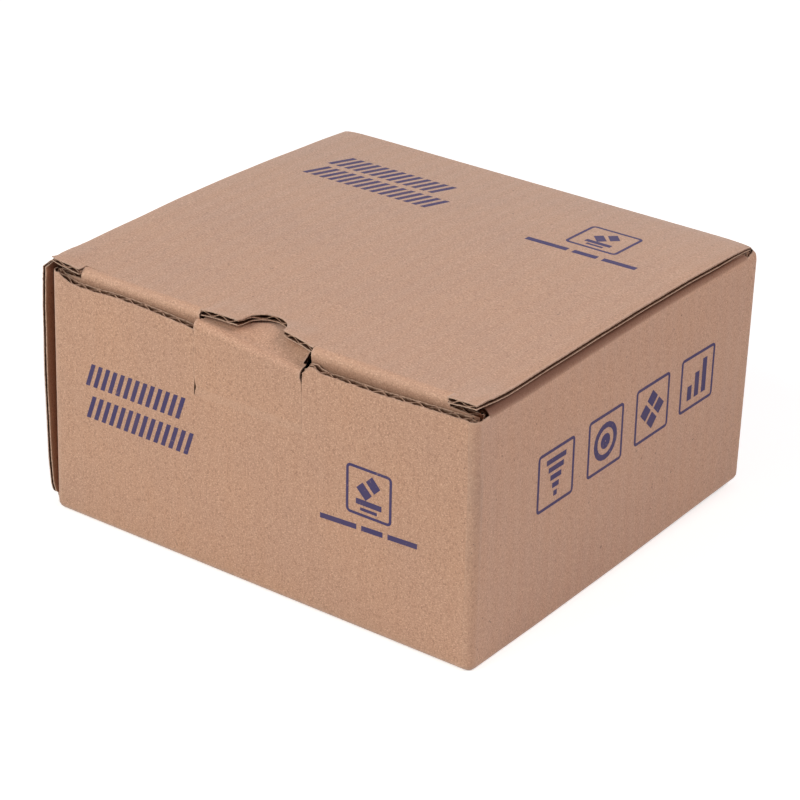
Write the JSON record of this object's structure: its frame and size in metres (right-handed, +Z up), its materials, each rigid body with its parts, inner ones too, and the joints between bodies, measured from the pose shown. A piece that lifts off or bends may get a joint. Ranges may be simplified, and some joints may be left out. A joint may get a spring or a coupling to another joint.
{
  "type": "tuck-top corrugated carton",
  "caption": "Closed corrugated board carton with a hinged tuck-in lid, dust flaps, a lock tongue on the front wall and an interlocked flap bottom.",
  "frame": {"origin": "on the floor under the middle of the carton's overall box, the free front edge of the left wall included", "axes": "+Z up, -Y out of the front wall that has the lock tongue, +X to the right seen from the front"},
  "size_m": [0.1642, 0.1484, 0.0845],
  "materials": {
    "kraft_board": "matt brown kraft liner",
    "kraft_crease": "crushed kraft liner, slightly paler",
    "hot_melt_glue": "waxy yellowish glue film"
  },
  "bodies": {
    "sleeve": {"front_wall": "kraft_board", "right_wall": "kraft_board", "rear_wall": "kraft_board", "left_wall": "kraft_board", "glue_flap": "kraft_board", "lap_glue": "hot_melt_glue", "corner_front_right": "kraft_crease", "corner_rear_right": "kraft_crease", "corner_rear_left": "kraft_crease", "corner_front_left": "kraft_crease", "crease_lid_rear": "kraft_crease", "crease_dust_left": "kraft_crease", "crease_dust_right": "kraft_crease", "crease_tongue_base": "kraft_crease", "bottom_flap_front": "kraft_board", "bottom_flap_left": "kraft_board", "bottom_flap_right": "kraft_board", "bottom_flap_rear": "kraft_board", "crease_bottom_front": "kraft_crease", "crease_bottom_left": "kraft_crease", "crease_bottom_right": "kraft_crease", "crease_bottom_rear": "kraft_crease"},
    "lid": {"lid_panel": "kraft_board", "crease_tuck_left": "kraft_crease", "crease_tuck_right": "kraft_crease"},
    "tuck": {"tuck_flap_left": "kraft_board", "tuck_flap_right": "kraft_board"},
    "left_dust_flap": {"dust_flap_left": "kraft_board"},
    "right_dust_flap": {"dust_flap_right": "kraft_board"},
    "tongue": {"lock_tongue": "kraft_board", "crease_tongue_top": "kraft_crease"},
    "tip": {"tongue_tip": "kraft_board"}
  },
  "joints": [
    {"name": "lid_hinge", "type": "hinge", "parent": "sleeve", "child": "lid", "pos_m": [0.0021, 0.0731, 0.0834], "axis": [-1, 0, 0], "range_deg": [0, 180]},
    {"name": "tuck_hinge", "type": "hinge", "parent": "lid", "child": "tuck", "pos_m": [0.0021, -0.0712, 0.0834], "axis": [-1, 0, 0], "range_deg": [0, 90]},
    {"name": "left_dust_hinge", "type": "hinge", "parent": "sleeve", "child": "left_dust_flap", "pos_m": [-0.0795, 0, 0.0808], "axis": [0, -1, 0], "range_deg": [0, 90]},
    {"name": "right_dust_hinge", "type": "hinge", "parent": "sleeve", "child": "right_dust_flap", "pos_m": [0.081, 0, 0.0808], "axis": [0, 1, 0], "range_deg": [0, 90]},
    {"name": "tongue_hinge", "type": "hinge", "parent": "sleeve", "child": "tongue", "pos_m": [-0.0001, -0.0731, 0.0589], "axis": [1, 0, 0], "range_deg": [0, 45]},
    {"name": "tip_hinge", "type": "hinge", "parent": "tongue", "child": "tip", "pos_m": [-0.0001, -0.0731, 0.0801], "axis": [-1, 0, 0], "range_deg": [0, 22.5]}
  ],
  "couplings": [
    {"joint": "tuck_hinge", "follows": "lid_hinge", "ratio": 0.5},
    {"joint": "left_dust_hinge", "follows": "lid_hinge", "ratio": 0.5},
    {"joint": "right_dust_hinge", "follows": "lid_hinge", "ratio": 0.5},
    {"joint": "tip_hinge", "follows": "tongue_hinge", "ratio": 0.5}
  ]
}
